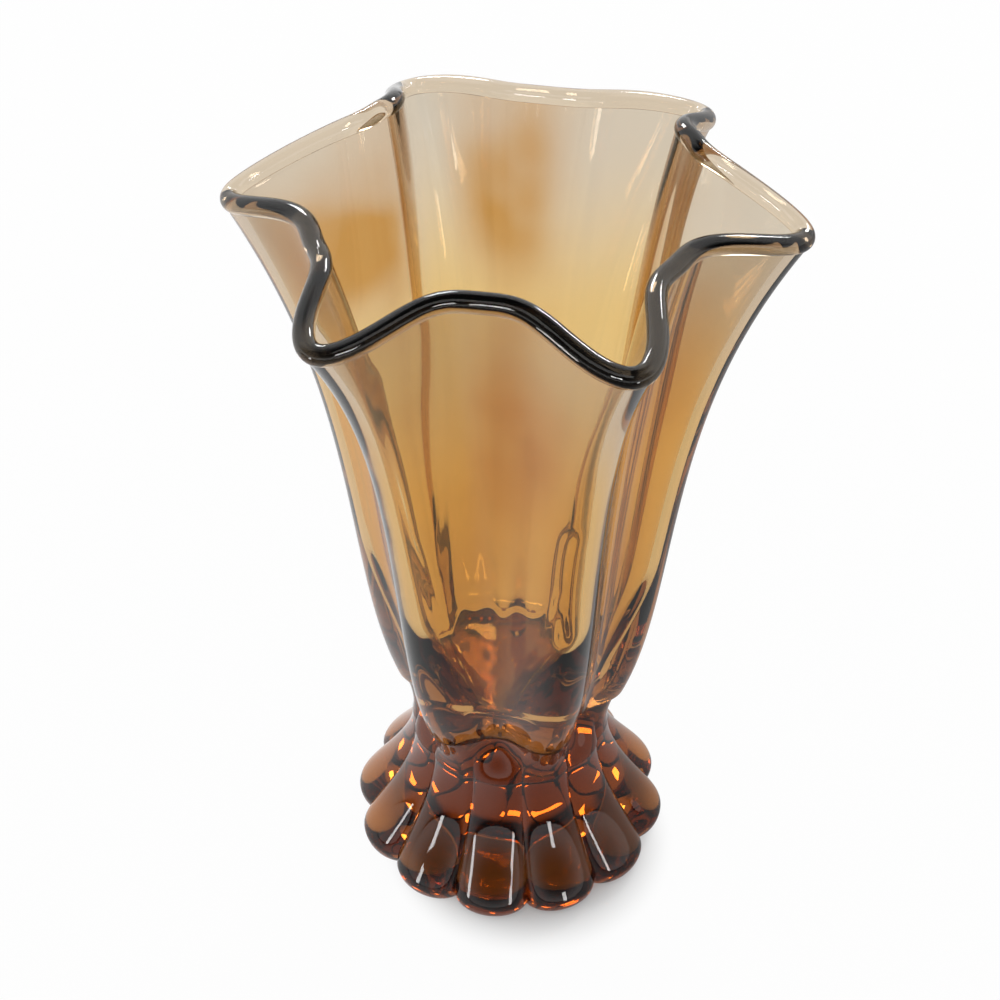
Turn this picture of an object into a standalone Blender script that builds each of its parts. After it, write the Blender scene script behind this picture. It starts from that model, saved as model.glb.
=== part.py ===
"""Trumpet vase in amber glass: a six-lobed bowl with a rolled lip, on a fluted collar and a ribbed foot.

Metres, +Z up. The vase stands on the plane z = 0 with its axis on the Z axis, and one lobe of the bowl
points along +X. Each piece is a stack of rings, and a ring is a curve round the axis, worked out from
the sizes below.
"""
from math import acos, pi

import bmesh
import bpy
import numpy as np

MM = 0.001

# The rim was shaped by hand, so it departs a little from a regular one. One row for each lobe,
# anticlockwise from +X: the tip outward, upward and turned in degrees, then the arch after it
# outward and upward, in millimetres. The rows set how many lobes there are.
RIM_SHAPE = (
    (0.5, -1.0, 5.0, 0.0, 1.5),
    (0.5, -1.5, -5.0, 2.0, -6.0),
    (-5.0, 1.0, 1.0, -3.5, 2.5),
    (2.5, -5.0, -7.0, 1.5, -6.5),
    (-1.0, 2.0, -2.5, 1.5, 2.0),
    (0.0, 5.0, 1.0, -1.5, -4.5),
)

# Pattern
LOBES = len(RIM_SHAPE)
RIBS = 2 * LOBES
JOINT_GAP = 0.3 * MM

# Foot: a solid bell of ribs that rests on a flat ring round a shallow hollow
FOOT_HEIGHT = 42.0 * MM
FOOT_RADIUS = 48.0 * MM
FOOT_GROOVE = 5.0 * MM
FOOT_EDGE_HEIGHT = 5.0 * MM
FOOT_EDGE_TUCK = 3.5 * MM
STANDING_RING_WIDTH = 9.0 * MM
HOLLOW_DEPTH = 3.5 * MM
NECK_RADIUS = 30.0 * MM
NECK_GROOVE = 1.4 * MM
RIB_ROUNDNESS = 0.92
FOOT_FALL = 0.68

# Collar: the fluted band between foot and bowl
COLLAR_HEIGHT = 14.4 * MM
COLLAR_WAIST = 0.8 * MM

# Bowl: radii over the ridges of the lobes, and over the panels between them
BOWL_HEIGHT = 176.5 * MM
TIP_DROOP = 12.0 * MM
RIDGE_BASE_RADIUS = 33.8 * MM
RIDGE_SWELL = 7.2 * MM
RIDGE_SPREAD = 12.3 * MM
RIDGE_FLARE = 20.9 * MM
PANEL_BASE_RADIUS = 25.8 * MM
PANEL_SWELL = 5.9 * MM
PANEL_SPREAD = 12.0 * MM
PANEL_FLARE = 7.7 * MM
SWELL_HEIGHT = 24.0 * MM
FLARE_POWER = 4.15
RIDGE_SHARPNESS_LOW = 1.05
RIDGE_SHARPNESS_HIGH = 1.8
DROOP_SHARPNESS = 2.0
HEEL_ROUND = 1.8 * MM

# Glass thickness
RIM_WALL = 4.4 * MM
LOW_WALL = 6.0 * MM
FLOOR_THICKNESS = 9.0 * MM
FLOOR_ROUND = 9.0 * MM
INNER_SHARPENING = 1.25
INNER_ROUND_HEIGHT = 60.0 * MM
SQUARE_WALL_FROM = 0.7

# Lip: the rolled edge, wider than the wall that carries it
LIP_WIDTH = 5.6 * MM
LIP_HEIGHT = 4.4 * MM

# Mesh counts, and how far the bowl's rows crowd towards its base
BOWL_AROUND = 14 * LOBES
RIBS_AROUND = 10 * RIBS
BOWL_ROWS = 20
BOWL_CROWDING = 1.15
HOLLOW_ROWS = 3
FOOT_ROWS = 9
EDGE_ROWS = 5
COLLAR_ROWS = 4
FLOOR_ROWS = 5
HEEL_ROWS = 3
LIP_POINTS = 9
CREASE_ANGLE = 0.9

# Colours of the glass
AMBER = (0.52, 0.27, 0.09, 1.0)
DEEP_AMBER = (0.30, 0.12, 0.03, 1.0)
SMOKED = (0.05, 0.04, 0.03, 1.0)

COLLAR_BASE = FOOT_HEIGHT + JOINT_GAP
COLLAR_TOP = COLLAR_BASE + COLLAR_HEIGHT
BOWL_BASE = COLLAR_TOP + JOINT_GAP
ARCH_TOP = BOWL_BASE + BOWL_HEIGHT
TIP_TOP = ARCH_TOP - TIP_DROOP


def clear_scene():
    """Remove every object that the file opened with."""
    for thing in list(bpy.data.objects):
        bpy.data.objects.remove(thing, do_unlink=True)


def glass(name, colour, roughness=0.03):
    """A tinted glass material."""
    material = bpy.data.materials.new(name)
    material.use_nodes = True
    shader = material.node_tree.nodes["Principled BSDF"]
    shader.inputs["Base Color"].default_value = colour
    shader.inputs["Roughness"].default_value = roughness
    shader.inputs["Metallic"].default_value = 0.0
    shader.inputs["IOR"].default_value = 1.5
    shader.inputs["Transmission Weight"].default_value = 1.0
    return material


def angles(count):
    """Angles of the points of a ring, anticlockwise from +X."""
    return np.arange(count) * 2 * pi / count


def ring(radius, theta, height):
    """Points at a radius and height that may each vary with the angle."""
    return np.stack([radius * np.cos(theta), radius * np.sin(theta), height + 0 * theta], axis=-1)


def smooth(t):
    """0 to 1 with level ends."""
    t = np.clip(t, 0, 1)
    return t * t * (3 - 2 * t)


def unit(vectors):
    """Vectors scaled to length 1."""
    return vectors / np.linalg.norm(vectors, axis=-1, keepdims=True)


def lobe_wave(theta):
    """1 on a ridge, 0 in the middle of a panel."""
    return (1 + np.cos(LOBES * theta)) / 2


def per_lobe(theta, column, first):
    """A column of RIM_SHAPE carried round the rim, blended smoothly from each lobe to the next."""
    values = np.array([row[column] for row in RIM_SHAPE])
    place = (theta / (2 * pi) * LOBES - first) % LOBES
    index = np.floor(place).astype(int)
    blend = smooth(place - index)
    return values[index % LOBES] * (1 - blend) + values[(index + 1) % LOBES] * blend


def trumpet(v, base, swell, spread, flare):
    """Radius up the bowl: a quick swell over the collar, a straight cone, then a flare at the mouth."""
    rise = 1 - np.exp(-v * BOWL_HEIGHT / SWELL_HEIGHT)
    return base + swell * rise + spread * v + flare * v ** FLARE_POWER


def bowl_section(theta, v, inset, sharpening, depth=1.0):
    """Points of the bowl at share v of its height, drawn in by inset. Depth is a share of the lobes' depth."""
    ridge = trumpet(v, RIDGE_BASE_RADIUS, RIDGE_SWELL, RIDGE_SPREAD, RIDGE_FLARE) - inset
    panel = trumpet(v, PANEL_BASE_RADIUS, PANEL_SWELL, PANEL_SPREAD, PANEL_FLARE) - inset
    sharpness = RIDGE_SHARPNESS_LOW + (RIDGE_SHARPNESS_HIGH - RIDGE_SHARPNESS_LOW) * v
    crest = depth * lobe_wave(theta) ** (sharpness * sharpening)
    by_hand = v ** 3
    ridge = ridge + by_hand * per_lobe(theta, 0, 0.0) * MM
    panel = panel + by_hand * per_lobe(theta, 3, 0.5) * MM
    tip_top = TIP_TOP + per_lobe(theta, 1, 0.0) * MM
    arch_top = ARCH_TOP + per_lobe(theta, 4, 0.5) * MM
    top = arch_top + (tip_top - arch_top) * lobe_wave(theta) ** DROOP_SHARPNESS
    mean = (ARCH_TOP + TIP_TOP) / 2
    height = BOWL_BASE + (mean - BOWL_BASE) * v + (top - mean) * v ** 2
    turned = theta + by_hand * np.radians(per_lobe(theta, 2, 0.0))
    return ring(panel + (ridge - panel) * crest, turned, height)


def outside(theta, v):
    """The outer face of the bowl."""
    return bowl_section(theta, v, 0.0, 1.0)


def outward(theta, v):
    """Unit normal of the outer face, from small steps round and up it."""
    step = 1e-3
    round_it = outside(theta + step, v) - outside(theta - step, v)
    up_it = outside(theta, v) - outside(theta, v - step)
    return unit(np.cross(round_it, up_it))


def inside(theta, v):
    """The inner face: a wall's thickness in, round at the floor, lobed from the round height up, and square
    to the outer face where it nears the rim."""
    wall = RIM_WALL + (LOW_WALL - RIM_WALL) * (1 - v) ** 2
    lobed = smooth(v * BOWL_HEIGHT / INNER_ROUND_HEIGHT)
    moulded = bowl_section(theta, v, wall, INNER_SHARPENING, lobed)
    offset = outside(theta, v) - wall * outward(theta, v)
    share = smooth((v - SQUARE_WALL_FROM) / (1 - SQUARE_WALL_FROM))
    return moulded * (1 - share) + offset * share


def rib_radius(theta, crest, groove):
    """Radius of a ring of rounded ribs: arcs that meet in narrow grooves."""
    place = (theta / (2 * pi) * RIBS + 0.5) % 1 - 0.5
    across = RIB_ROUNDNESS * 2 * np.abs(place)
    arc = (1 - np.sqrt(1 - across ** 2)) / (1 - np.sqrt(1 - RIB_ROUNDNESS ** 2))
    return crest - groove * arc


def make_solid(name, rings, material, closed_tube=False):
    """One closed object from rings that run up the outside and, where it is hollow, down the inside."""
    mesh = bmesh.new()
    rows = [[mesh.verts.new(point) for point in points] for points in rings]
    if closed_tube:
        rows.append(rows[0])
    for low, high in zip(rows[:-1], rows[1:]):
        for i in range(len(low)):
            j = (i + 1) % len(low)
            mesh.faces.new((low[i], low[j], high[j], high[i]))
    if not closed_tube:
        close_end(mesh, rows[0], rings[0], reverse=True)
        close_end(mesh, rows[-1], rings[-1], reverse=False)
    data = bpy.data.meshes.new(name)
    mesh.to_mesh(data)
    mesh.free()
    data.shade_smooth()
    data.set_sharp_from_angle(angle=CREASE_ANGLE)
    data.materials.append(material)
    thing = bpy.data.objects.new(name, data)
    bpy.context.scene.collection.objects.link(thing)
    return thing


def close_end(mesh, row, points, reverse):
    """Close a ring with a fan about its middle, on the axis."""
    middle = mesh.verts.new((0.0, 0.0, float(np.mean(points[:, 2]))))
    for i in range(len(row)):
        j = (i + 1) % len(row)
        face = (middle, row[j], row[i]) if reverse else (middle, row[i], row[j])
        mesh.faces.new(face)


def make_foot():
    """Hollow under the foot, standing ring, rounded edge, then the bell of ribs up to the neck."""
    theta = angles(RIBS_AROUND)
    edge_radius = FOOT_RADIUS - FOOT_EDGE_TUCK
    hollow_radius = edge_radius - FOOT_GROOVE - STANDING_RING_WIDTH
    rings = []
    for share in np.linspace(0, 1, HOLLOW_ROWS + 1)[1:]:
        drop = HOLLOW_DEPTH * (1 - share ** 2)
        rings.append(ring(hollow_radius * share + 0 * theta, theta, drop))
    for turn in np.linspace(0, pi / 2, EDGE_ROWS):
        crest = edge_radius + FOOT_EDGE_TUCK * np.sin(turn)
        height = FOOT_EDGE_HEIGHT * (1 - np.cos(turn))
        rings.append(ring(rib_radius(theta, crest, FOOT_GROOVE), theta, height))
    for share in np.linspace(0, 1, FOOT_ROWS)[1:]:
        fall = smooth(share ** FOOT_FALL)
        crest = FOOT_RADIUS + (NECK_RADIUS - FOOT_RADIUS) * fall
        groove = FOOT_GROOVE + (NECK_GROOVE - FOOT_GROOVE) * fall
        height = FOOT_EDGE_HEIGHT + (FOOT_HEIGHT - FOOT_EDGE_HEIGHT) * share
        rings.append(ring(rib_radius(theta, crest, groove), theta, height))
    return make_solid("foot", rings, glass("deep_amber_glass", DEEP_AMBER))


def make_collar():
    """The ribs of the neck below run into the lobes of the bowl above."""
    theta = angles(RIBS_AROUND)
    low = rib_radius(theta, NECK_RADIUS, NECK_GROOVE)
    high = bowl_heel(theta)
    rings = []
    for share in np.linspace(0, 1, COLLAR_ROWS):
        waist = COLLAR_WAIST * np.sin(pi * share)
        radius = low + (high - low) * smooth(share) - waist
        rings.append(ring(radius, theta, COLLAR_BASE + COLLAR_HEIGHT * share))
    return make_solid("collar", rings, glass("collar_glass", DEEP_AMBER))


def bowl_heel(theta):
    """Radius of the flat face under the bowl, inside its rounded heel."""
    crest = lobe_wave(theta) ** RIDGE_SHARPNESS_LOW
    return PANEL_BASE_RADIUS + (RIDGE_BASE_RADIUS - PANEL_BASE_RADIUS) * crest - HEEL_ROUND


def make_bowl():
    """Flat seat, heel, outer face up to the rim, inner face down to the rounded floor."""
    theta = angles(BOWL_AROUND)
    heights = np.linspace(0, 1, BOWL_ROWS) ** BOWL_CROWDING
    heel_share = HEEL_ROUND / BOWL_HEIGHT
    rings = []
    for turn in np.linspace(0, pi / 2, HEEL_ROWS)[:-1]:
        radius = bowl_heel(theta) + HEEL_ROUND * np.sin(turn)
        rings.append(ring(radius, theta, BOWL_BASE + HEEL_ROUND * (1 - np.cos(turn))))
    for v in heights:
        rings.append(outside(theta, heel_share + (1 - heel_share) * v))
    floor_share = (FLOOR_THICKNESS + FLOOR_ROUND) / BOWL_HEIGHT
    for v in heights[::-1]:
        rings.append(inside(theta, floor_share + (1 - floor_share) * v))
    corner = rings[-1]
    for turn in np.linspace(0, pi / 2, FLOOR_ROWS)[1:]:
        radius = np.hypot(corner[:, 0], corner[:, 1]) - FLOOR_ROUND * (1 - np.cos(turn))
        rings.append(ring(radius, theta, corner[:, 2] - FLOOR_ROUND * np.sin(turn)))
    return make_solid("bowl", rings, glass("amber_glass", AMBER))


def make_lip():
    """A rolled edge carried round the rim, with a flat underside as wide as the wall."""
    theta = angles(BOWL_AROUND)
    normal = outward(theta, 1.0)
    middle = outside(theta, 1.0) - normal * RIM_WALL / 2
    along = unit(np.roll(middle, -1, axis=0) - np.roll(middle, 1, axis=0))
    upward = unit(np.cross(normal, along))
    start = -acos(min(RIM_WALL / LIP_WIDTH, 0.999))
    turns = np.linspace(start, pi - start, LIP_POINTS)
    low, high = np.sin(start), 1.0
    rings = []
    for turn in turns:
        out = LIP_WIDTH / 2 * np.cos(turn)
        up = JOINT_GAP + LIP_HEIGHT * (np.sin(turn) - low) / (high - low)
        rings.append(middle + normal * out + upward * up)
    return make_solid("lip", rings, glass("lip_glass", SMOKED), closed_tube=True)


def main():
    clear_scene()
    make_foot()
    make_collar()
    make_bowl()
    make_lip()


main()
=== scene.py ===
"""Trumpet vase in amber glass, on a plain pale floor.

Metres, +Z up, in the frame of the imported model. The vase's axis is Z, it stands on z = 0, and one lobe
of the bowl points along +X. Every piece is a closed surface worked out from rings round the axis.
"""
from math import acos, cos, pi, radians, sin

import bpy
import numpy as np
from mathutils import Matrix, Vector


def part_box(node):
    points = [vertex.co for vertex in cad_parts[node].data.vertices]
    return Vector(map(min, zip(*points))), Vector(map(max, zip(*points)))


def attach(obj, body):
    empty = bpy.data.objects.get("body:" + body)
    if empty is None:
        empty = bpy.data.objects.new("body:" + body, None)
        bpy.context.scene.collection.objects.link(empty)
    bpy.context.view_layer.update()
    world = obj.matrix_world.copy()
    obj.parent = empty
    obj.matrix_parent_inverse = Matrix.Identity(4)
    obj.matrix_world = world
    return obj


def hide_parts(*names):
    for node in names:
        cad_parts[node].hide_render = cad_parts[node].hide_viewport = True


bl_info = {
    "name": "Amber trumpet vase",
    "version": (1, 0, 0),
    "blender": (4, 5, 0),
    "location": "View3D > Sidebar > Vase",
    "description": "Builds a six-lobed trumpet vase with a rolled lip on a ribbed foot, and its stage",
    "category": "Add Mesh",
}

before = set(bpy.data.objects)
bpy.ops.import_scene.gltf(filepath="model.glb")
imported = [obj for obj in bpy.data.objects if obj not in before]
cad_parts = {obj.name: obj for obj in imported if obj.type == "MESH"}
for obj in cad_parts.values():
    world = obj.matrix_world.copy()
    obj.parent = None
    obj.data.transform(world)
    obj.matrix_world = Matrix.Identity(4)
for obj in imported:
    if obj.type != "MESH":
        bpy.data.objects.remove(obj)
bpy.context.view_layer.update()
BODY = "root"
MM = 0.001

# Where the collar and the bowl begin, and the thin overlap of the pieces there, which lets light pass from
# each into the next
COLLAR_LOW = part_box("collar")[0].z
BOWL_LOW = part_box("bowl")[0].z
OVERLAP = 0.12 * MM

# Heights under and over the whole vase, for a piece that has no joint at that end
UNDER_ALL = -1.0
OVER_ALL = 1.0

# The rim was shaped by hand, so it departs a little from a regular one. One row for each lobe,
# anticlockwise from +X: the tip outward, upward and turned in degrees, then the arch after it
# outward and upward, in millimetres. The rows set how many lobes there are.
RIM_SHAPE = (
    (0.5, -1.0, 5.0, 0.0, 1.5),
    (0.5, -1.5, -5.0, 2.0, -6.0),
    (-5.0, 1.0, 1.0, -3.5, 2.5),
    (2.5, -5.0, -7.0, 1.5, -6.5),
    (-1.0, 2.0, -2.5, 1.5, 2.0),
    (0.0, 5.0, 1.0, -1.5, -4.5),
)
LOBES = len(RIM_SHAPE)
RIBS = 2 * LOBES

# Mesh rows of the smaller forms
HOLLOW_ROWS = 14
EDGE_ROWS = 12
COLLAR_ROWS = 16
HEEL_ROWS = 7
FLOOR_ROWS = 14

# The hollow's first ring, as a share of its radius, and how far the bowl's rows crowd towards its base
HOLLOW_START = 0.04
ROW_CROWDING = 1.15

# Edges that bend by more than this stay sharp under the smooth shading
SHARP_ANGLE = radians(38)

# Cords: thin ridges on the inside of the bowl. Each has its angle at the top and at the bottom and its bow
# between them in degrees, then top, bottom, height and half width in millimetres.
CORDS = (
    (-115.0, -114.0, -4.5, 231.0, 106.0, 0.35, 1.2),
    (-101.5, -111.0, -0.5, 232.0, 131.0, 0.12, 0.7),
    (-118.0, -109.0, 0.0, 152.0, 88.0, 0.20, 0.8),
    (-62.0, -60.0, -2.0, 164.0, 108.0, 0.50, 1.6),
    (-63.0, -71.0, 1.0, 136.0, 96.0, 0.25, 0.9),
    (-175.0, -172.0, 1.5, 172.0, 118.0, 0.30, 1.2),
)

# Share of a cord over which each of its ends fades, and how often the ripples' two sines turn round the bowl
CORD_FADE = 0.15
RIPPLE_TURNS = (9, 4)

# Ranges of the stain's masks: the cosine of the lobes' angle towards a panel's middle, the distance from a
# patch's middle as a share of its reach, and the noise that the clouds are cut from
PANEL_RANGE = (0.5, -0.9)
PATCH_RANGE = (1.0, 0.1)
CLOUD_RANGE = (0.35, 0.65)

# Share of a patch that gaps in the clouds can take away, and the detail of every noise
PATCH_BREAK = 0.55
NOISE_DETAIL = 2.0

# The faint waves: their scale upwards, which draws them out along the vase, and their height at full strength
WAVE_STRETCH = 0.35
WAVE_HEIGHT = 0.4 * MM

# White for a colour socket
WHITE = (1.0, 1.0, 1.0, 1.0)

# The floor: half its side and how far it lies under the foot, in metres, and how matt it is
FLOOR_HALF = 3.0
FLOOR_DROP = 0.0002
FLOOR_ROUGHNESS = 0.9

# The camera's sensor in millimetres, and the nearest thing that it shows in metres
SENSOR_WIDTH = 36.0
CLIP_START = 0.01

# Lights over the vase: turn and rise in degrees, width and height in millimetres, power in watts
UPPER_LIGHTS = (
    ("back_left", -155.0, 40.0, 200.0, 150.0, 1.9),
    ("back_right", 155.0, 40.0, 200.0, 150.0, 1.9),
    ("front_high", -5.0, 35.0, 200.0, 100.0, 1.3),
    ("front_soft", 0.0, 60.0, 600.0, 250.0, 0.5),
)


def length(name, default, description):
    """A size in millimetres that a user may change."""
    return bpy.props.FloatProperty(
        name=name, description=description, default=default * MM, min=0.0, unit="LENGTH", precision=5
    )


def position(name, default, description):
    """A coordinate in millimetres that a user may change."""
    return bpy.props.FloatProperty(
        name=name, description=description, default=default * MM, unit="LENGTH", precision=5
    )


def point(name, default, description):
    """A point in metres that a user may change."""
    return bpy.props.FloatVectorProperty(name=name, description=description, default=default, unit="LENGTH")


def angle(name, default, description):
    """An angle in degrees that a user may change."""
    return bpy.props.FloatProperty(
        name=name, description=description, default=radians(default), subtype="ANGLE"
    )


def number(name, default, description, unit="NONE"):
    """A number that a user may change, with Blender's unit for its kind where there is one."""
    return bpy.props.FloatProperty(name=name, description=description, default=default, unit=unit)


def fraction(name, default, description):
    """A share from 0 to 1 that a user may change."""
    return bpy.props.FloatProperty(
        name=name, description=description, default=default, subtype="FACTOR", min=0.0, max=1.0, precision=3
    )


def count(name, default, description):
    """A whole number that a user may change."""
    return bpy.props.IntProperty(name=name, description=description, default=default, min=3)


def colour(name, default, description):
    """A colour that a user may change."""
    return bpy.props.FloatVectorProperty(
        name=name, description=description, default=default, size=3, subtype="COLOR", min=0.0, max=1.0
    )


class VaseBowlSizes(bpy.types.PropertyGroup):
    """Sizes of the bowl, over the ridges of its lobes and over the panels between them."""

    height: length("Height", 176.5, "From the bowl's seat to the top of the arches")
    tip_droop: length("Tip droop", 12.0, "How far the tips of the lobes hang below the arches")
    ridge_base: length("Ridge base", 33.8, "Radius over the ridges at the seat")
    ridge_swell: length("Ridge swell", 7.2, "How far the ridges swell just over the collar")
    ridge_spread: length("Ridge spread", 12.3, "How far the ridges lean out up the bowl")
    ridge_flare: length("Ridge flare", 20.9, "How far the ridges flare at the mouth")
    panel_base: length("Panel base", 25.8, "Radius over the panels at the seat")
    panel_swell: length("Panel swell", 5.9, "How far the panels swell just over the collar")
    panel_spread: length("Panel spread", 12.0, "How far the panels lean out up the bowl")
    panel_flare: length("Panel flare", 7.7, "How far the panels flare at the mouth")
    swell_height: length("Swell height", 24.0, "Height over which the swell is reached")
    flare_power: number("Flare power", 4.15, "How late and sharply the mouth flares")
    sharp_low: number("Ridge sharpness low", 1.05, "Sharpness of the ridges at the seat")
    sharp_high: number("Ridge sharpness high", 1.8, "Sharpness of the ridges at the rim")
    droop_sharp: number("Droop sharpness", 2.0, "How narrow the drooping tips are")
    heel: length("Heel", 1.8, "Radius of the rounded edge at the seat")
    rim_wall: length("Rim wall", 4.4, "Thickness of the wall at the rim")
    low_wall: length("Low wall", 6.0, "Thickness of the wall at the seat")
    floor: length("Floor", 9.0, "Thickness of the floor")
    floor_round: length("Floor round", 9.0, "Radius between floor and wall")
    inner_sharp: number("Inner sharpening", 1.25, "How much sharper the folds are inside")
    round_height: length("Round height", 60.0, "Height over which the inside turns from round to lobed")
    square_from: fraction("Square wall from", 0.7, "Share of the height where the wall turns even")
    ripple: length("Ripple", 0.02, "Height of the faint ripples on the inside")
    ripple_length: length("Ripple length", 9.0, "Height in which a ripple turns by one radian")
    around: count("Points around", 456, "Mesh points round the bowl")
    rows: count("Rows", 96, "Mesh rows up the wall")


class VaseFootSizes(bpy.types.PropertyGroup):
    """Sizes of the foot and the collar."""

    radius: length("Foot radius", 48.0, "Radius over the ribs of the foot")
    groove: length("Foot groove", 5.0, "Depth of the grooves at the foot's edge")
    edge_height: length("Edge height", 5.0, "Height of the rounded edge")
    edge_tuck: length("Edge tuck", 3.5, "How far the edge tucks in under the foot")
    ring_width: length("Standing ring", 9.0, "Width of the flat ring that stands on the table")
    hollow: length("Hollow", 3.5, "Depth of the hollow under the foot")
    neck: length("Neck radius", 30.0, "Radius over the ribs at the neck")
    neck_groove: length("Neck groove", 1.4, "Depth of the grooves at the neck")
    roundness: fraction("Rib roundness", 0.92, "How far each rib turns round before the next")
    fall: number("Foot fall", 0.68, "How soon the bell falls away from the neck's side")
    waist: length("Collar waist", 0.8, "How far the collar draws in at its middle")
    around: count("Points around", 288, "Mesh points round foot and collar")
    rows: count("Rows", 48, "Mesh rows up the foot")


class VaseLipSizes(bpy.types.PropertyGroup):
    """Sizes of the rolled lip."""

    width: length("Lip width", 5.6, "Width of the rolled edge")
    height: length("Lip height", 4.4, "Height of the rolled edge")
    points: count("Points", 28, "Mesh points round the lip's section")


class VaseGlass(bpy.types.PropertyGroup):
    """Tints of the glass, each of which is what one wall of it lets through, and its depth and finish."""

    rim_tint: colour("Rim tint", (0.744, 0.692, 0.590), "Wall just under the lip")
    body_tint: colour("Body tint", (0.861, 0.631, 0.270), "Wall of the bowl")
    patch_tint: colour("Patch tint", (0.616, 0.342, 0.100), "Warm patches and clouds on the panels")
    lip_tint: colour("Lip tint", (0.79, 0.71, 0.58), "Rolled lip")
    foot_tint: colour("Foot tint", (0.521, 0.201, 0.033), "Surface of foot and collar")
    depth_tint: colour("Depth tint", (0.65, 0.43, 0.20), "Colour that deep glass takes")
    density: number("Depth density", 60.0, "How fast bowl and lip take that colour, for each metre")
    collar_density: number("Collar density", 25.0, "How fast the collar takes that colour, for each metre")
    foot_density: number("Foot density", 50.0, "How fast the foot takes that colour, for each metre")
    body_height: length("Body height", 160.0, "Height where the body tint starts to turn into the rim tint")
    rim_height: length("Rim height", 222.0, "Height where the rim tint is reached")
    patch_height: length("Patch height", 195.0, "Height of the middle of the warm patches")
    patch_reach: length("Patch reach", 38.0, "How far the warm patches reach up and down")
    patch_tilt: number("Patch tilt", 0.16, "How much higher the patches are for each metre towards the back")
    patch_turn: angle("Patch turn", 9.0, "Turn of the warm patches from the middles of the panels")
    cloud_scale: number("Cloud scale", 22.0, "Clouds of colour to the metre")
    cloud_strength: fraction("Cloud strength", 0.3, "How much of the patch tint the clouds carry")
    wave_scale: number("Wave scale", 40.0, "Faint waves of the surface to the metre")
    foot_waves: fraction("Foot waves", 0.15, "Strength of the faint waves on foot and collar")
    bowl_waves: fraction("Bowl waves", 0.25, "Strength of the faint waves on the bowl")
    lip_waves: fraction("Lip waves", 0.1, "Strength of the faint waves on the lip")
    roughness: fraction("Roughness", 0.012, "Roughness of the polished surface")
    ior: number("Index", 1.5, "Index of refraction")


class VaseStage(bpy.types.PropertyGroup):
    """Camera, lights and floor."""

    azimuth: angle("Azimuth", 8.07, "Turn of the camera round the vase")
    elevation: angle("Elevation", 42.28, "Height of the camera as an angle")
    distance: length("Distance", 610.0, "From the camera to the point it looks at")
    target: point("Target", (0.0, -0.0218, 0.1494), "Point the camera looks at")
    lens: number("Lens", 82.0, "Focal length in millimetres", "CAMERA")
    floor_colour: colour("Floor colour", (0.5, 0.5, 0.5), "Colour of the floor")
    floor_glow: fraction("Floor glow", 0.96, "Share of the floor's white that needs no light")
    floor_gloss: fraction("Front in gloss", 0.1, "Brightness of the floor in front, as gloss mirrors it")
    left_gloss: fraction("Left in gloss", 1.0, "Brightness of the floor on the left, as gloss mirrors it")
    right_gloss: fraction("Right in gloss", 0.5, "Brightness of the floor on the right, as gloss mirrors it")
    gloss_edge: length("Gloss edge", 48.0, "From the middle to where left and right are reached")
    gloss_front: position("Gloss front", -450.0, "Y where the front's brightness starts to rise")
    gloss_back: position("Gloss back", 50.0, "Y where the side's brightness is reached")
    shadow_glow: fraction("Shadow glow", 0.15, "Part of the floor's glow that is left under the foot")
    shadow_middle: point("Shadow middle", (0.008, -0.014, 0.0), "Middle of the foot's shadow")
    shadow_start: length("Shadow start", 28.0, "Radius within which the floor's glow is at its least")
    shadow_end: length("Shadow end", 46.0, "Radius from which the floor has its full glow")
    dark: fraction("Dark side", 0.05, "Brightness of the room above, as glass shows it")
    left_strip: angle("Left strip", -47.0, "Turn of the left strip light")
    right_strip: angle("Right strip", 38.0, "Turn of the right strip light")
    strip_distance: length("Light distance", 900.0, "From the vase to the strips and the upper lights")
    strip_width: length("Strip width", 100.0, "Width of a strip light")
    strip_height: length("Strip height", 213.0, "Height of a strip light, which stands on the floor")
    strip_power: number("Strip power", 0.77, "Power of a strip light in watts", "POWER")


def smooth(t):
    """0 to 1 with level ends: 3 t squared less 2 t cubed."""
    t = np.clip(t, 0, 1)
    return t * t * (3 - 2 * t)


def unit(vectors):
    """Vectors divided by their own length."""
    return vectors / np.linalg.norm(vectors, axis=-1, keepdims=True)


def angles(points):
    """Angles of the points of a ring, anticlockwise from +X."""
    return np.arange(points) * 2 * pi / points


def rings(radius, theta, height):
    """Points (r cos theta, r sin theta, z), for arrays that broadcast against each other."""
    radius, theta, height = np.broadcast_arrays(radius, theta, height)
    return np.stack([radius * np.cos(theta), radius * np.sin(theta), height], axis=-1)


def lobe_wave(theta):
    """Half of one plus the cosine of the lobes' angle: 1 on a ridge, 0 in the middle of a panel."""
    return (1 + np.cos(LOBES * theta)) / 2


def per_lobe(theta, column, first):
    """A column of RIM_SHAPE carried round the rim, blended smoothly from each lobe to the next."""
    values = np.array([row[column] for row in RIM_SHAPE])
    place = (theta / (2 * pi) * LOBES - first) % LOBES
    index = np.floor(place).astype(int)
    blend = smooth(place - index)
    return values[index % LOBES] * (1 - blend) + values[(index + 1) % LOBES] * blend


def trumpet(v, size, base, swell, spread, flare):
    """Base, plus a swell that is reached exponentially, plus spread times v and flare times a power of v."""
    rise = 1 - np.exp(-v * size.height / size.swell_height)
    return base + swell * rise + spread * v + flare * v ** size.flare_power


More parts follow.
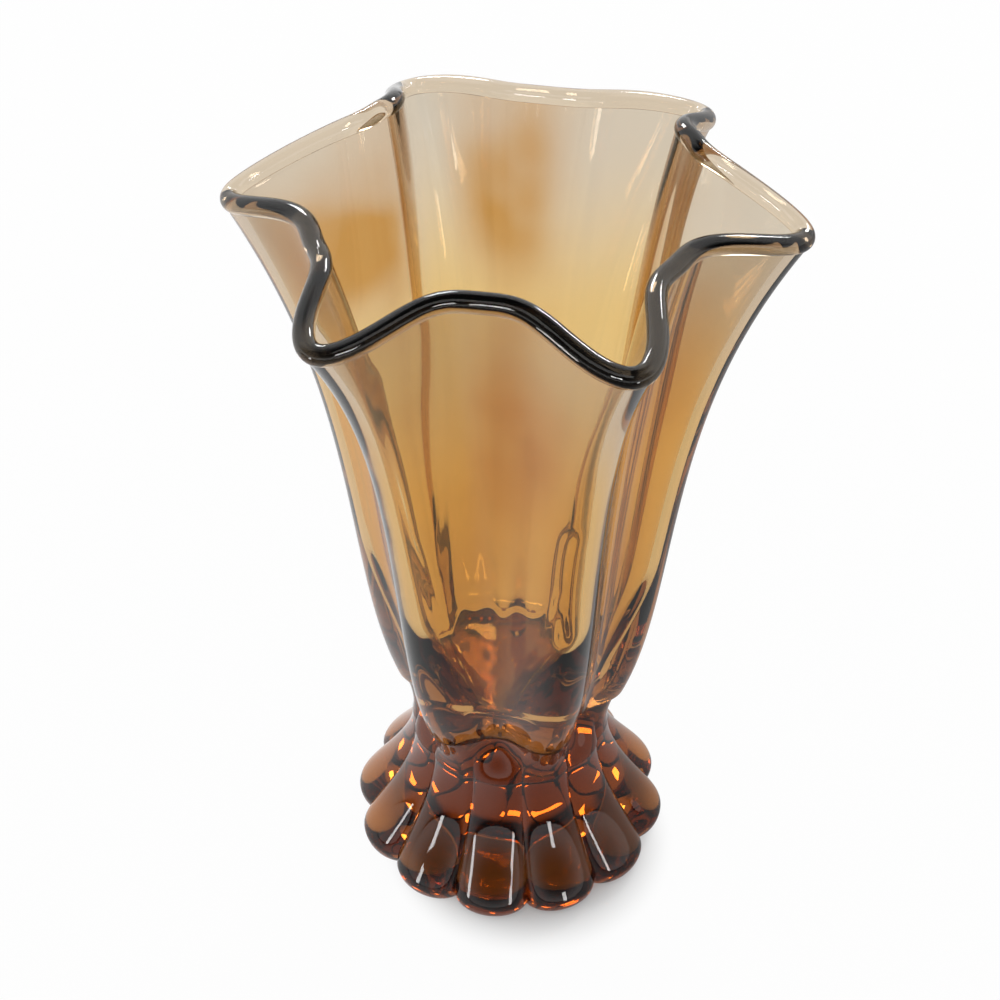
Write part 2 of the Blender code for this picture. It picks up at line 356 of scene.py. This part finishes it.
def bowl_section(theta, v, size, inset, sharpening, depth=1.0):
    """Points of the bowl at share v of its height. The radius runs from panel to ridge with depth times a
    power of the lobe wave. The height runs with v and the square of v, so that only the upper rows are wavy.
    What was shaped by hand grows with the cube of v."""
    ridge = trumpet(v, size, size.ridge_base, size.ridge_swell, size.ridge_spread, size.ridge_flare) - inset
    panel = trumpet(v, size, size.panel_base, size.panel_swell, size.panel_spread, size.panel_flare) - inset
    sharpness = size.sharp_low + (size.sharp_high - size.sharp_low) * v
    crest = depth * lobe_wave(theta) ** (sharpness * sharpening)
    by_hand = v ** 3
    ridge = ridge + by_hand * per_lobe(theta, 0, 0.0) * MM
    panel = panel + by_hand * per_lobe(theta, 3, 0.5) * MM
    arches = BOWL_LOW + size.height
    tips = arches - size.tip_droop
    tip_top = tips + per_lobe(theta, 1, 0.0) * MM
    arch_top = arches + per_lobe(theta, 4, 0.5) * MM
    top = arch_top + (tip_top - arch_top) * lobe_wave(theta) ** size.droop_sharp
    mean = (arches + tips) / 2
    height = BOWL_LOW + (mean - BOWL_LOW) * v + (top - mean) * v ** 2
    turned = theta + by_hand * np.radians(per_lobe(theta, 2, 0.0))
    return rings(panel + (ridge - panel) * crest, turned, height)


def outside(theta, v, size):
    """The outer face of the bowl."""
    return bowl_section(theta, v, size, 0.0, 1.0)


def outward(theta, v, size):
    """Unit normal of the outer face: the cross product of small steps round and up it."""
    step = 1e-4
    round_it = outside(theta + step, v, size) - outside(theta - step, v, size)
    up_it = outside(theta, v, size) - outside(theta, v - step, size)
    return unit(np.cross(round_it, up_it))


def inside(theta, v, size):
    """The inner face: the outer section drawn in by the wall, round at the floor and fully lobed from the
    round height up. Near the rim it blends into the outer face less a wall's thickness along its normal. The
    wall thickens from the rim down with the square of 1 - v."""
    wall = size.rim_wall + (size.low_wall - size.rim_wall) * (1 - v) ** 2
    lobed = smooth(v * size.height / size.round_height)
    moulded = bowl_section(theta, v, size, wall, size.inner_sharp, lobed)
    offset = outside(theta, v, size) - wall[..., None] * outward(theta, v, size)
    share = smooth((v - size.square_from) / (1 - size.square_from))[..., None]
    return moulded * (1 - share) + offset * share


def with_cords(points, size):
    """Points of the inner face drawn in by the cords and by faint ripples. A cord is a Gaussian ridge along a
    bowed line, which fades at both ends. The ripples are a product of two slow sines of angle and height."""
    radius = np.hypot(points[..., 0], points[..., 1])
    turn = np.degrees(np.arctan2(points[..., 1], points[..., 0]))
    rise = points[..., 2]
    many, few = RIPPLE_TURNS
    leaning = np.sin(np.radians(many * turn) + rise / size.ripple_length)
    crossing = np.sin(np.radians(few * turn) - 2 * rise / size.ripple_length)
    ridge = size.ripple * leaning * crossing
    for top_turn, low_turn, bow, top, low, height, half_width in CORDS:
        share = (top * MM - rise) / ((top - low) * MM)
        middle = top_turn + (low_turn - top_turn) * share + bow * 4 * share * (1 - share)
        aside = (turn - middle + 180) % 360 - 180
        across = np.radians(aside) * radius / (half_width * MM)
        fade = smooth(share / CORD_FADE) * smooth((1 - share) / CORD_FADE)
        ridge = ridge + height * MM * fade * np.exp(-across ** 2)
    return points * np.stack([1 - ridge / radius, 1 - ridge / radius, np.ones_like(ridge)], axis=-1)


def heel_radius(theta, size):
    """Radius of the flat seat under the bowl: from panel to ridge with a power of the lobe wave, less the
    rounded heel."""
    crest = lobe_wave(theta) ** size.sharp_low
    return size.panel_base + (size.ridge_base - size.panel_base) * crest - size.heel


def rib_radius(theta, crest, groove, size):
    """Crest less a circular arc's fall, which reaches the groove's depth half way to the next rib."""
    place = (theta / (2 * pi) * RIBS + 0.5) % 1 - 0.5
    across = size.roundness * 2 * np.abs(place)
    arc = (1 - np.sqrt(1 - across ** 2)) / (1 - np.sqrt(1 - size.roundness ** 2))
    return crest - groove * arc


def closed_surface(name, grid, tube=False):
    """One closed mesh from a grid of rings, which run up the outside and, where it is hollow, down the
    inside. A tube joins its last ring to its first, and any other surface has a fan at each end."""
    rows, around = grid.shape[:2]
    points = grid.reshape(-1, 3)
    index = np.arange(rows * around).reshape(rows, around)
    above = np.roll(index, -1, axis=0) if tube else index[1:]
    below = index if tube else index[:-1]
    quads = np.stack([below, np.roll(below, -1, axis=1), np.roll(above, -1, axis=1), above], axis=-1)
    faces = quads.reshape(-1, 4).tolist()
    if not tube:
        middles = np.array([[0, 0, grid[0, :, 2].mean()], [0, 0, grid[-1, :, 2].mean()]])
        points = np.concatenate([points, middles])
        first, last = rows * around, rows * around + 1
        low, high = index[0], index[-1]
        faces += np.stack([np.full(around, first), np.roll(low, -1), low], axis=-1).tolist()
        faces += np.stack([np.full(around, last), high, np.roll(high, -1)], axis=-1).tolist()
    mesh = bpy.data.meshes.new(name)
    mesh.from_pydata(points.tolist(), [], faces)
    mesh.shade_smooth()
    mesh.set_sharp_from_angle(angle=SHARP_ANGLE)
    mesh.update()
    piece = bpy.data.objects.new(name, mesh)
    bpy.context.scene.collection.objects.link(piece)
    return piece


def finish_piece(piece, node, material):
    """The piece takes its material, rides on the vase's body and stands for its CAD node."""
    piece.data.materials.append(material)
    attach(piece, BODY)
    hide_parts(node)
    return {"FINISHED"}


def socket(group, name, kind, way):
    """A named input or output of a node group."""
    group.interface.new_socket(name=name, in_out=way, socket_type=kind)


def add(tree, kind, **settings):
    """A node with its settings."""
    node = tree.nodes.new(kind)
    for name, value in settings.items():
        setattr(node, name, value)
    return node


def feed(tree, node, values):
    """Each named or numbered input of a node takes a link where its value is an output, else the value."""
    for place, value in values.items():
        if isinstance(value, bpy.types.NodeSocket):
            tree.links.new(value, node.inputs[place])
        else:
            node.inputs[place].default_value = value


def mix_colours(tree, factor, first, second):
    """A colour between two colours."""
    node = add(tree, "ShaderNodeMix", data_type="RGBA")
    feed(tree, node, {0: factor, 6: first, 7: second})
    return node.outputs[2]


def map_range(tree, value, low, high, to_low=0.0, to_high=1.0):
    """A value carried smoothly from one range to another."""
    node = add(tree, "ShaderNodeMapRange", interpolation_type="SMOOTHSTEP")
    feed(tree, node, {"Value": value, "From Min": low, "From Max": high, "To Min": to_low, "To Max": to_high})
    return node.outputs["Result"]


def calculate(tree, operation, *values):
    """The result of a Math node."""
    node = add(tree, "ShaderNodeMath", operation=operation)
    feed(tree, node, dict(enumerate(values)))
    return node.outputs[0]


def noise(tree, place, scale):
    """A smooth noise over the given coordinates, from 0 to 1."""
    node = add(tree, "ShaderNodeTexNoise")
    feed(tree, node, {"Vector": place, "Scale": scale, "Detail": NOISE_DETAIL})
    return node.outputs["Fac"]


def panel_mask(tree, turn):
    """1 in the middle of each panel, fading towards the ridges with the cosine of the lobes' angle."""
    wave = calculate(tree, "COSINE", calculate(tree, "MULTIPLY", turn, float(LOBES)))
    return map_range(tree, wave, *PANEL_RANGE)


def stain_group():
    """Shader node group: a tint that changes up the vase, with warm clouds and a warm patch on each panel
    between two lobes. A patch fades with the cosine of the lobes' angle, less its own turn, and with the
    distance above or below a plane that tilts from front to back, and the clouds break it up. The clouds fade
    towards the ridges. Joints stay clear."""
    group = bpy.data.node_groups.new("height_stain", "ShaderNodeTree")
    for name in ("Low Tint", "High Tint", "Patch Tint"):
        socket(group, name, "NodeSocketColor", "INPUT")
    for name in ("Low Height", "High Height", "Patch Height", "Patch Reach", "Patch Tilt", "Patch Turn"):
        socket(group, name, "NodeSocketFloat", "INPUT")
    for name in ("Cloud Scale", "Cloud Strength", "Joint Low", "Joint High"):
        socket(group, name, "NodeSocketFloat", "INPUT")
    socket(group, "Tint", "NodeSocketColor", "OUTPUT")
    given = add(group, "NodeGroupInput").outputs
    outlet = add(group, "NodeGroupOutput")
    place = add(group, "ShaderNodeTexCoord").outputs["Object"]
    split = add(group, "ShaderNodeSeparateXYZ")
    group.links.new(place, split.inputs[0])
    height = split.outputs["Z"]
    climb = map_range(group, height, given["Low Height"], given["High Height"])
    base = mix_colours(group, climb, given["Low Tint"], given["High Tint"])
    turn = calculate(group, "ARCTAN2", split.outputs["Y"], split.outputs["X"])
    panel = panel_mask(group, turn)
    turned_panel = panel_mask(group, calculate(group, "SUBTRACT", turn, given["Patch Turn"]))
    tilted = calculate(group, "MULTIPLY", split.outputs["Y"], given["Patch Tilt"])
    away = calculate(group, "SUBTRACT", height, calculate(group, "ADD", given["Patch Height"], tilted))
    share = calculate(group, "DIVIDE", calculate(group, "ABSOLUTE", away), given["Patch Reach"])
    level = map_range(group, share, *PATCH_RANGE)
    cloud = map_range(group, noise(group, place, given["Cloud Scale"]), *CLOUD_RANGE)
    broken = calculate(group, "MULTIPLY_ADD", cloud, PATCH_BREAK, 1 - PATCH_BREAK)
    patch = calculate(group, "MULTIPLY", calculate(group, "MULTIPLY", turned_panel, level), broken)
    on_panel = calculate(group, "MULTIPLY", cloud, panel)
    drift = calculate(group, "MULTIPLY_ADD", on_panel, given["Cloud Strength"], patch)
    stained = mix_colours(group, calculate(group, "MINIMUM", drift, 1.0), base, given["Patch Tint"])
    under = calculate(group, "LESS_THAN", height, given["Joint Low"])
    over = calculate(group, "GREATER_THAN", height, given["Joint High"])
    joint = calculate(group, "MAXIMUM", under, over)
    group.links.new(mix_colours(group, joint, stained, WHITE), outlet.inputs["Tint"])
    return group


def ripple_group():
    """Shader node group: the faint waves that pressed glass keeps, as a height."""
    group = bpy.data.node_groups.new("glass_ripple", "ShaderNodeTree")
    socket(group, "Wave Scale", "NodeSocketFloat", "INPUT")
    socket(group, "Height", "NodeSocketFloat", "OUTPUT")
    given = add(group, "NodeGroupInput").outputs
    outlet = add(group, "NodeGroupOutput")
    place = add(group, "ShaderNodeTexCoord").outputs["Object"]
    stretch = add(group, "ShaderNodeMapping")
    feed(group, stretch, {"Vector": place, "Scale": (1.0, 1.0, WAVE_STRETCH)})
    wave = noise(group, stretch.outputs["Vector"], given["Wave Scale"])
    group.links.new(wave, outlet.inputs["Height"])
    return group


def shared_group(name, make):
    """The node group of that name, made once."""
    return bpy.data.node_groups.get(name) or make()


def amber_glass(name, glass, density, low, high, patch, joints, waves):
    """Polished glass with a surface tint from the stain group, faint waves of the given strength and a colour
    that grows with depth. Its surface is clear below the first height of its joints and above the second,
    where it meets the next piece."""
    material = bpy.data.materials.new(name)
    material.use_nodes = True
    tree = material.node_tree
    shader = tree.nodes["Principled BSDF"]
    stain = add(tree, "ShaderNodeGroup", node_tree=shared_group("height_stain", stain_group))
    ripple = add(tree, "ShaderNodeGroup", node_tree=shared_group("glass_ripple", ripple_group))
    bump = add(tree, "ShaderNodeBump")
    depth = add(tree, "ShaderNodeVolumeAbsorption")
    feed(tree, stain, {
        "Low Tint": (*low, 1.0),
        "High Tint": (*high, 1.0),
        "Patch Tint": (*patch, 1.0),
        "Low Height": glass.body_height,
        "High Height": glass.rim_height,
        "Patch Height": glass.patch_height,
        "Patch Reach": glass.patch_reach,
        "Patch Tilt": glass.patch_tilt,
        "Patch Turn": glass.patch_turn,
        "Cloud Scale": glass.cloud_scale,
        "Cloud Strength": glass.cloud_strength,
        "Joint Low": joints[0] + OVERLAP / 2,
        "Joint High": joints[1] + OVERLAP / 2,
    })
    feed(tree, ripple, {"Wave Scale": glass.wave_scale})
    feed(tree, bump, {"Strength": waves, "Distance": WAVE_HEIGHT, "Height": ripple.outputs["Height"]})
    feed(tree, shader, {
        "Metallic": 0.0,
        "Roughness": glass.roughness,
        "IOR": glass.ior,
        "Transmission Weight": 1.0,
        "Base Color": stain.outputs["Tint"],
        "Normal": bump.outputs["Normal"],
    })
    feed(tree, depth, {"Color": (*glass.depth_tint, 1.0), "Density": density})
    feed(tree, tree.nodes["Material Output"], {"Volume": depth.outputs["Volume"]})
    return material


class VASE_OT_foot(bpy.types.Operator):
    """Add the ribbed bell foot, with its standing ring and hollow"""

    bl_idname = "vase.foot"
    bl_label = "Foot"

    def execute(self, context):
        size = context.scene.vase_foot
        glass = context.scene.vase_glass
        theta = angles(size.around)[None, :]
        # The hollow is a paraboloid, and the edge a quarter ellipse from the standing ring to the full radius.
        # The bell's crest and grooves then run to the neck's with the smooth step of a power of the height.
        edge = size.radius - size.edge_tuck
        hollow_radius = edge - size.groove - size.ring_width
        share = np.linspace(HOLLOW_START, 1, HOLLOW_ROWS)[:, None]
        hollow = rings(hollow_radius * share, theta, size.hollow * (1 - share ** 2))
        turn = np.linspace(0, pi / 2, EDGE_ROWS)[:, None]
        crest = edge + size.edge_tuck * np.sin(turn)
        rim = rings(rib_radius(theta, crest, size.groove, size), theta, size.edge_height * (1 - np.cos(turn)))
        share = np.linspace(0, 1, size.rows)[1:, None]
        fall = smooth(share ** size.fall)
        crest = size.radius + (size.neck - size.radius) * fall
        groove = size.groove + (size.neck_groove - size.groove) * fall
        top = COLLAR_LOW + OVERLAP
        height = size.edge_height + (top - size.edge_height) * share
        bell = rings(rib_radius(theta, crest, groove, size), theta, height)
        piece = closed_surface("foot_glass", np.concatenate([hollow, rim, bell]))
        tint = glass.foot_tint
        joints = (UNDER_ALL, COLLAR_LOW)
        material = amber_glass(
            "foot_amber", glass, glass.foot_density, tint, tint, tint, joints, glass.foot_waves
        )
        return finish_piece(piece, "foot", material)


class VASE_OT_collar(bpy.types.Operator):
    """Add the fluted collar between foot and bowl"""

    bl_idname = "vase.collar"
    bl_label = "Collar"

    def execute(self, context):
        size = context.scene.vase_foot
        bowl = context.scene.vase_bowl
        glass = context.scene.vase_glass
        theta = angles(size.around)[None, :]
        # The radius runs from the foot's ribs to the bowl's seat with the smooth step, less a half sine
        low = rib_radius(theta, size.neck, size.neck_groove, size)
        high = heel_radius(theta, bowl)
        share = np.linspace(0, 1, COLLAR_ROWS)[:, None]
        radius = low + (high - low) * smooth(share) - size.waist * np.sin(pi * share)
        top = BOWL_LOW + OVERLAP
        piece = closed_surface("collar_glass", rings(radius, theta, COLLAR_LOW + (top - COLLAR_LOW) * share))
        tint = glass.foot_tint
        joints = (COLLAR_LOW, BOWL_LOW)
        material = amber_glass(
            "collar_amber", glass, glass.collar_density, tint, tint, tint, joints, glass.foot_waves
        )
        return finish_piece(piece, "collar", material)


class VASE_OT_bowl(bpy.types.Operator):
    """Add the six-lobed bowl, with its seat, heel, wall and rounded floor"""

    bl_idname = "vase.bowl"
    bl_label = "Bowl"

    def execute(self, context):
        size = context.scene.vase_bowl
        glass = context.scene.vase_glass
        theta = angles(size.around)[None, :]
        # A quarter circle for the heel, the outer face upwards, the inner face downwards, and a quarter circle
        # from the wall in to the floor
        turn = np.linspace(0, pi / 2, HEEL_ROWS)[:-1, None]
        seat = heel_radius(theta, size) + size.heel * np.sin(turn)
        heel = rings(seat, theta, BOWL_LOW + size.heel * (1 - np.cos(turn)))
        climb = np.repeat(np.linspace(0, 1, size.rows)[:, None] ** ROW_CROWDING, size.around, axis=1)
        heel_share = size.heel / size.height
        outer = outside(theta, heel_share + (1 - heel_share) * climb, size)
        floor_share = (size.floor + size.floor_round) / size.height
        inner = with_cords(inside(theta, floor_share + (1 - floor_share) * climb[::-1], size), size)
        corner = inner[-1]
        turn = np.linspace(0, pi / 2, FLOOR_ROWS)[1:, None]
        radius = np.hypot(corner[:, 0], corner[:, 1])[None, :] - size.floor_round * (1 - np.cos(turn))
        floor = rings(radius, theta, corner[None, :, 2] - size.floor_round * np.sin(turn))
        piece = closed_surface("bowl_glass", np.concatenate([heel, outer, inner, floor]))
        low, high, patch = glass.body_tint, glass.rim_tint, glass.patch_tint
        joints = (BOWL_LOW, OVER_ALL)
        material = amber_glass(
            "bowl_amber", glass, glass.density, low, high, patch, joints, glass.bowl_waves
        )
        return finish_piece(piece, "bowl", material)


class VASE_OT_lip(bpy.types.Operator):
    """Add the rolled lip along the wavy rim"""

    bl_idname = "vase.lip"
    bl_label = "Lip"

    def execute(self, context):
        size = context.scene.vase_lip
        bowl = context.scene.vase_bowl
        glass = context.scene.vase_glass
        theta = angles(bowl.around)
        # The section is an arc of an ellipse, from one edge of the wall's top over to the other. It is carried
        # along the middle of the rim, upright on the wall.
        rim = np.ones_like(theta)
        normal = outward(theta, rim, bowl)
        middle = outside(theta, rim, bowl) - normal * bowl.rim_wall / 2
        along = unit(np.roll(middle, -1, axis=0) - np.roll(middle, 1, axis=0))
        upward = unit(np.cross(normal, along))
        start = -acos(bowl.rim_wall / size.width)
        turns = np.linspace(start, pi - start, size.points)
        out = size.width / 2 * np.cos(turns)
        up = size.height * (np.sin(turns) - sin(start)) / (1 - sin(start)) - OVERLAP
        grid = middle[None] + normal[None] * out[:, None, None] + upward[None] * up[:, None, None]
        piece = closed_surface("lip_glass", grid, tube=True)
        tint = glass.lip_tint
        joints = (UNDER_ALL, OVER_ALL)
        material = amber_glass("lip_amber", glass, glass.density, tint, tint, tint, joints, glass.lip_waves)
        return finish_piece(piece, "lip", material)


def pale_world(stage):
    """White to the camera. Glass and gloss see white low down and at the back, and a dark room higher up in
    front and overhead. The ranges are coordinates of a direction: its rise over the floor, and how far it
    points to the back."""
    low_band = (0.05, 0.35)
    front_to_back = (-0.25, 0.25)
    overhead_band = (0.75, 0.92)
    world = bpy.data.worlds.new("pale_room")
    bpy.context.scene.world = world
    world.use_nodes = True
    tree = world.node_tree
    sky = tree.nodes["Background"]
    sky.inputs["Color"].default_value = WHITE
    place = add(tree, "ShaderNodeTexCoord")
    split = add(tree, "ShaderNodeSeparateXYZ")
    tree.links.new(place.outputs["Generated"], split.inputs[0])
    height = map_range(tree, split.outputs["Z"], *low_band)
    before = map_range(tree, split.outputs["Y"], *front_to_back, 1.0, 0.0)
    overhead = map_range(tree, split.outputs["Z"], *overhead_band)
    shade = calculate(tree, "MULTIPLY", height, calculate(tree, "MAXIMUM", before, overhead))
    path = add(tree, "ShaderNodeLightPath")
    shown = calculate(tree, "MAXIMUM", path.outputs["Is Glossy Ray"], path.outputs["Is Transmission Ray"])
    darkened = calculate(tree, "MULTIPLY", calculate(tree, "MULTIPLY", shade, 1 - stage.dark), shown)
    tree.links.new(calculate(tree, "SUBTRACT", 1.0, darkened), sky.inputs["Strength"])


def floor_material(stage):
    """Matt floor with a white glow that the camera sees, straight or through glass. The glow fades under the
    foot, where the shadow is. What gloss mirrors of the floor is dark in front, brighter at the sides and
    behind, and brighter on the left than on the right."""
    material = bpy.data.materials.new("pale_floor")
    material.use_nodes = True
    tree = material.node_tree
    matt = tree.nodes["Principled BSDF"]
    glow = add(tree, "ShaderNodeEmission")
    mix = add(tree, "ShaderNodeMixShader")
    path = add(tree, "ShaderNodeLightPath")
    place = add(tree, "ShaderNodeTexCoord").outputs["Object"]
    apart = add(tree, "ShaderNodeVectorMath", operation="DISTANCE")
    feed(tree, apart, {0: place, 1: stage.shadow_middle})
    reach = (stage.shadow_start, stage.shadow_end, stage.shadow_glow, 1.0)
    lit = map_range(tree, apart.outputs["Value"], *reach)
    split = add(tree, "ShaderNodeSeparateXYZ")
    tree.links.new(place, split.inputs[0])
    edge = stage.gloss_edge
    beside = map_range(tree, split.outputs["X"], -edge, edge, stage.left_gloss, stage.right_gloss)
    rise = map_range(tree, split.outputs["Y"], stage.gloss_front, stage.gloss_back)
    gain = calculate(tree, "SUBTRACT", beside, stage.floor_gloss)
    gloss = calculate(tree, "MULTIPLY_ADD", rise, gain, stage.floor_gloss)
    through = path.outputs["Is Transmission Ray"]
    mirrored = calculate(tree, "SUBTRACT", path.outputs["Is Glossy Ray"], through)
    dimmed = calculate(tree, "MULTIPLY", mirrored, calculate(tree, "SUBTRACT", 1.0, gloss))
    clear = calculate(tree, "MAXIMUM", path.outputs["Is Camera Ray"], through)
    seen = calculate(tree, "MAXIMUM", calculate(tree, "MULTIPLY", clear, stage.floor_glow), mirrored)
    feed(tree, matt, {
        "Base Color": (*stage.floor_colour, 1.0),
        "Roughness": FLOOR_ROUGHNESS,
        "Specular IOR Level": 0.0,
    })
    feed(tree, glow, {"Strength": calculate(tree, "SUBTRACT", 1.0, dimmed)})
    feed(tree, mix, {0: calculate(tree, "MULTIPLY", seen, lit), 1: matt.outputs[0], 2: glow.outputs[0]})
    feed(tree, tree.nodes["Material Output"], {"Surface": mix.outputs[0]})
    return material


def direction(turn, rise):
    """Unit vector at a turn from the front, towards +X, and at a rise above the floor."""
    return Vector((sin(turn) * cos(rise), -cos(turn) * cos(rise), sin(rise)))


def area_light(name, place, aim, width, height, power):
    """A rectangular softbox that faces a point."""
    data = bpy.data.lights.new(name, "AREA")
    data.shape = "RECTANGLE"
    data.size = width
    data.size_y = height
    data.energy = power
    light = bpy.data.objects.new(name, data)
    light.location = place
    light.rotation_euler = (Vector(aim) - Vector(place)).to_track_quat("-Z", "Y").to_euler()
    light.visible_camera = False
    bpy.context.scene.collection.objects.link(light)


def pale_floor(stage):
    """A wide square floor, which isn't part of the vase."""
    half = FLOOR_HALF
    mesh = bpy.data.meshes.new("floor")
    corners = [(-half, -half, 0), (half, -half, 0), (half, half, 0), (-half, half, 0)]
    mesh.from_pydata(corners, [], [(0, 1, 2, 3)])
    mesh.materials.append(floor_material(stage))
    floor = bpy.data.objects.new("floor", mesh)
    floor.location.z = -FLOOR_DROP
    bpy.context.scene.collection.objects.link(floor)


def room_lights(stage):
    """Two strips that stand on the floor in front, and the lights over the vase, all equally far away."""
    far = stage.strip_distance
    for side, turn in (("left", stage.left_strip), ("right", stage.right_strip)):
        place = (far * sin(turn), -far * cos(turn), stage.strip_height / 2)
        aim = (0, 0, place[2])
        area_light(f"{side}_strip", place, aim, stage.strip_width, stage.strip_height, stage.strip_power)
    for name, turn, rise, width, height, power in UPPER_LIGHTS:
        way = direction(radians(turn), radians(rise))
        area_light(name, way * far, (0, 0, 0), width * MM, height * MM, power)


def main_camera(stage):
    """The camera, which looks down at its target from a turn and a rise."""
    back = direction(stage.azimuth, stage.elevation)
    data = bpy.data.cameras.new("camera")
    data.sensor_width = SENSOR_WIDTH
    data.lens = stage.lens
    data.clip_start = CLIP_START
    camera = bpy.data.objects.new("camera", data)
    camera.location = Vector(stage.target) + back * stage.distance
    camera.rotation_euler = (-back).to_track_quat("-Z", "Y").to_euler()
    bpy.context.scene.collection.objects.link(camera)
    bpy.context.scene.camera = camera


class VASE_OT_stage(bpy.types.Operator):
    """Add the floor, the world, the lights and the camera"""

    bl_idname = "vase.stage"
    bl_label = "Stage"

    def execute(self, context):
        stage = context.scene.vase_stage
        context.scene.view_settings.view_transform = "Standard"
        pale_floor(stage)
        pale_world(stage)
        room_lights(stage)
        main_camera(stage)
        return {"FINISHED"}


class VASE_PT_panel(bpy.types.Panel):
    """Buttons for the pieces and the stage"""

    bl_idname = "VASE_PT_panel"
    bl_label = "Trumpet vase"
    bl_space_type = "VIEW_3D"
    bl_region_type = "UI"
    bl_category = "Vase"

    def draw(self, context):
        for operator in OPERATORS:
            self.layout.operator(operator.bl_idname)
        for name in SETTINGS:
            group = getattr(context.scene, name)
            for item in type(group).__annotations__:
                self.layout.prop(group, item)


SETTINGS = {
    "vase_bowl": VaseBowlSizes,
    "vase_foot": VaseFootSizes,
    "vase_lip": VaseLipSizes,
    "vase_glass": VaseGlass,
    "vase_stage": VaseStage,
}
OPERATORS = (VASE_OT_foot, VASE_OT_collar, VASE_OT_bowl, VASE_OT_lip, VASE_OT_stage)


def register():
    """The settings become properties of the scene, and the operators and the panel are made known."""
    for name, group in SETTINGS.items():
        bpy.utils.register_class(group)
        setattr(bpy.types.Scene, name, bpy.props.PointerProperty(type=group))
    for part in (*OPERATORS, VASE_PT_panel):
        bpy.utils.register_class(part)


def unregister():
    """The reverse of register."""
    for part in (VASE_PT_panel, *OPERATORS[::-1]):
        bpy.utils.unregister_class(part)
    for name, group in SETTINGS.items():
        delattr(bpy.types.Scene, name)
        bpy.utils.unregister_class(group)


def main():
    """The stage and every piece, from the foot up."""
    register()
    bpy.ops.vase.stage()
    bpy.ops.vase.foot()
    bpy.ops.vase.collar()
    bpy.ops.vase.bowl()
    bpy.ops.vase.lip()


if __name__ == "__main__":
    main()
